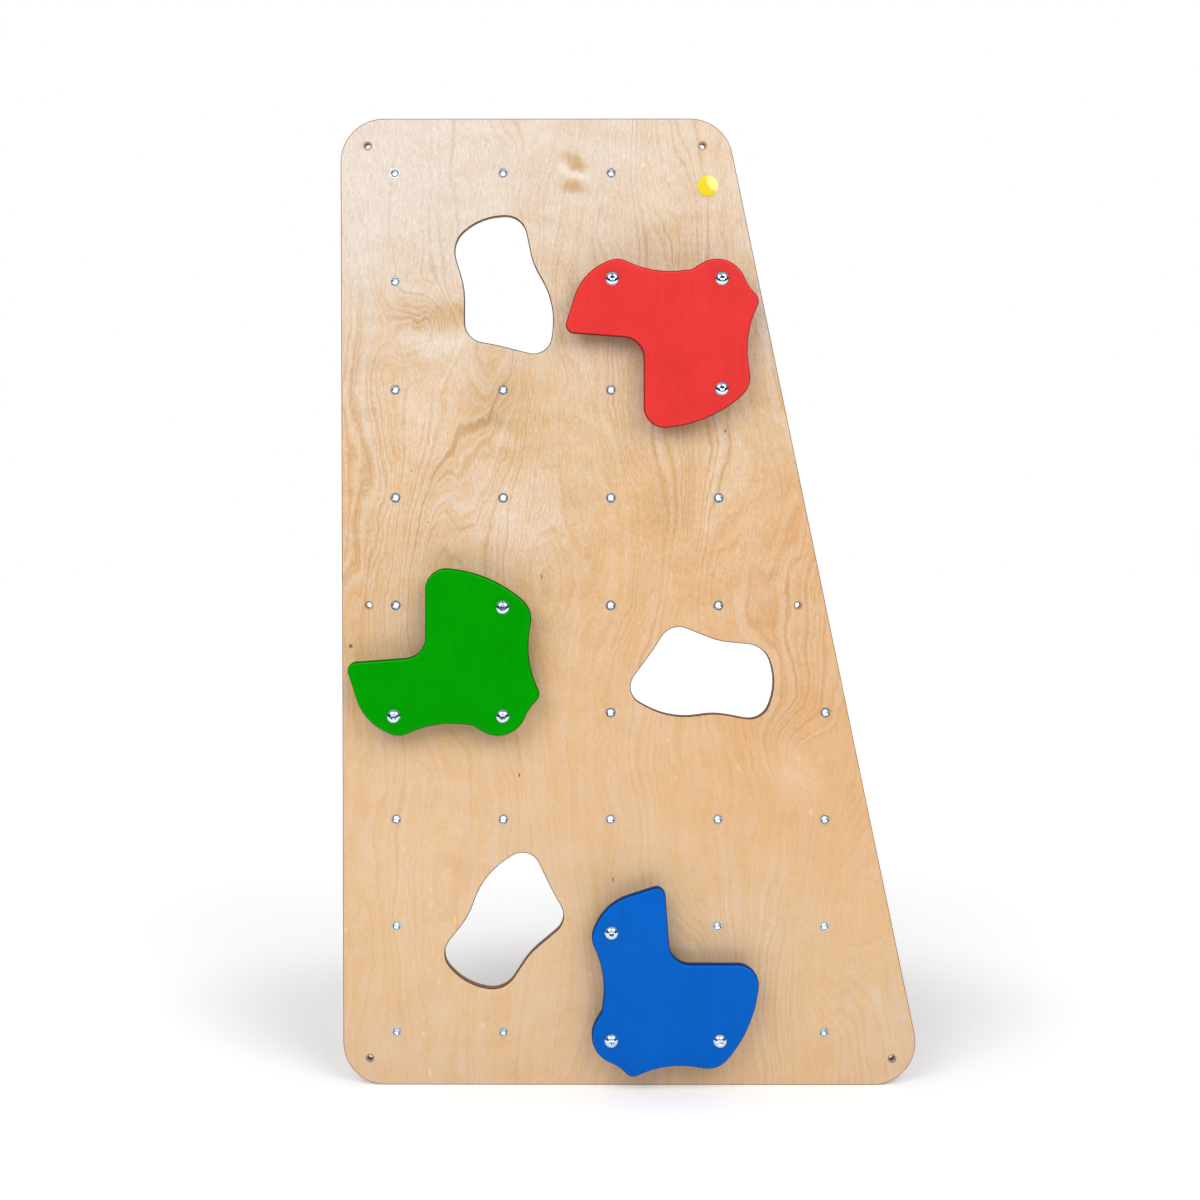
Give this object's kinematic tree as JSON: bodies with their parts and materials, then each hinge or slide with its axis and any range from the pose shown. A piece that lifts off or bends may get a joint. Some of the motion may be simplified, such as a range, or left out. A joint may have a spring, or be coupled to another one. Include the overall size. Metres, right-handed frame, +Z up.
{
  "type": "climbing wall panel",
  "caption": "Upright trapezoidal plywood climbing board with free-form cut-outs, a grid of threaded inserts and bolted coloured L-shaped holds on sleeves.",
  "frame": {"origin": "middle of the board's bottom edge: half way along the base width and half way through the board's thickness", "axes": "+X along the base towards the slanted edge, +Y from the climbing face to the back, +Z up"},
  "size_m": [1.0712, 0.0735, 1.8],
  "materials": {
    "birch_plywood": "clear satin lacquer, brown sealed edges",
    "lacquer_red": "satin gloss",
    "lacquer_green": "satin gloss",
    "lacquer_blue": "satin gloss",
    "polished_steel": "polished stainless steel",
    "sleeve_steel": "turned stainless steel",
    "insert_steel": "bright zinc-plated steel",
    "badge_plastic": "glossy, plain"
  },
  "bodies": {
    "root": {"panel": "birch_plywood", "insert_c0_r0": "insert_steel", "insert_c1_r0": "insert_steel", "insert_c2_r0": "insert_steel", "insert_c3_r0": "insert_steel", "insert_c4_r0": "insert_steel", "insert_c0_r1": "insert_steel", "insert_c2_r1": "insert_steel", "insert_c3_r1": "insert_steel", "insert_c4_r1": "insert_steel", "insert_c0_r2": "insert_steel", "insert_c1_r2": "insert_steel", "insert_c2_r2": "insert_steel", "insert_c3_r2": "insert_steel", "insert_c4_r2": "insert_steel", "insert_c0_r3": "insert_steel", "insert_c1_r3": "insert_steel", "insert_c2_r3": "insert_steel", "insert_c4_r3": "insert_steel", "insert_c0_r4": "insert_steel", "insert_c1_r4": "insert_steel", "insert_c2_r4": "insert_steel", "insert_c3_r4": "insert_steel", "insert_c0_r5": "insert_steel", "insert_c1_r5": "insert_steel", "insert_c2_r5": "insert_steel", "insert_c3_r5": "insert_steel", "insert_c0_r6": "insert_steel", "insert_c1_r6": "insert_steel", "insert_c2_r6": "insert_steel", "insert_c3_r6": "insert_steel", "insert_c0_r7": "insert_steel", "insert_c2_r7": "insert_steel", "insert_c3_r7": "insert_steel", "insert_c0_r8": "insert_steel", "insert_c1_r8": "insert_steel", "insert_c2_r8": "insert_steel", "hold_red": "lacquer_red", "sleeve_red_1": "sleeve_steel", "bolt_red_1": "polished_steel", "sleeve_red_2": "sleeve_steel", "bolt_red_2": "polished_steel", "sleeve_red_3": "sleeve_steel", "bolt_red_3": "polished_steel", "hold_green": "lacquer_green", "sleeve_green_1": "sleeve_steel", "bolt_green_1": "polished_steel", "sleeve_green_2": "sleeve_steel", "bolt_green_2": "polished_steel", "sleeve_green_3": "sleeve_steel", "bolt_green_3": "polished_steel", "hold_blue": "lacquer_blue", "sleeve_blue_1": "sleeve_steel", "bolt_blue_1": "polished_steel", "sleeve_blue_2": "sleeve_steel", "bolt_blue_2": "polished_steel", "sleeve_blue_3": "sleeve_steel", "bolt_blue_3": "polished_steel", "badge_disc": "badge_plastic"}
  },
  "joints": []
}
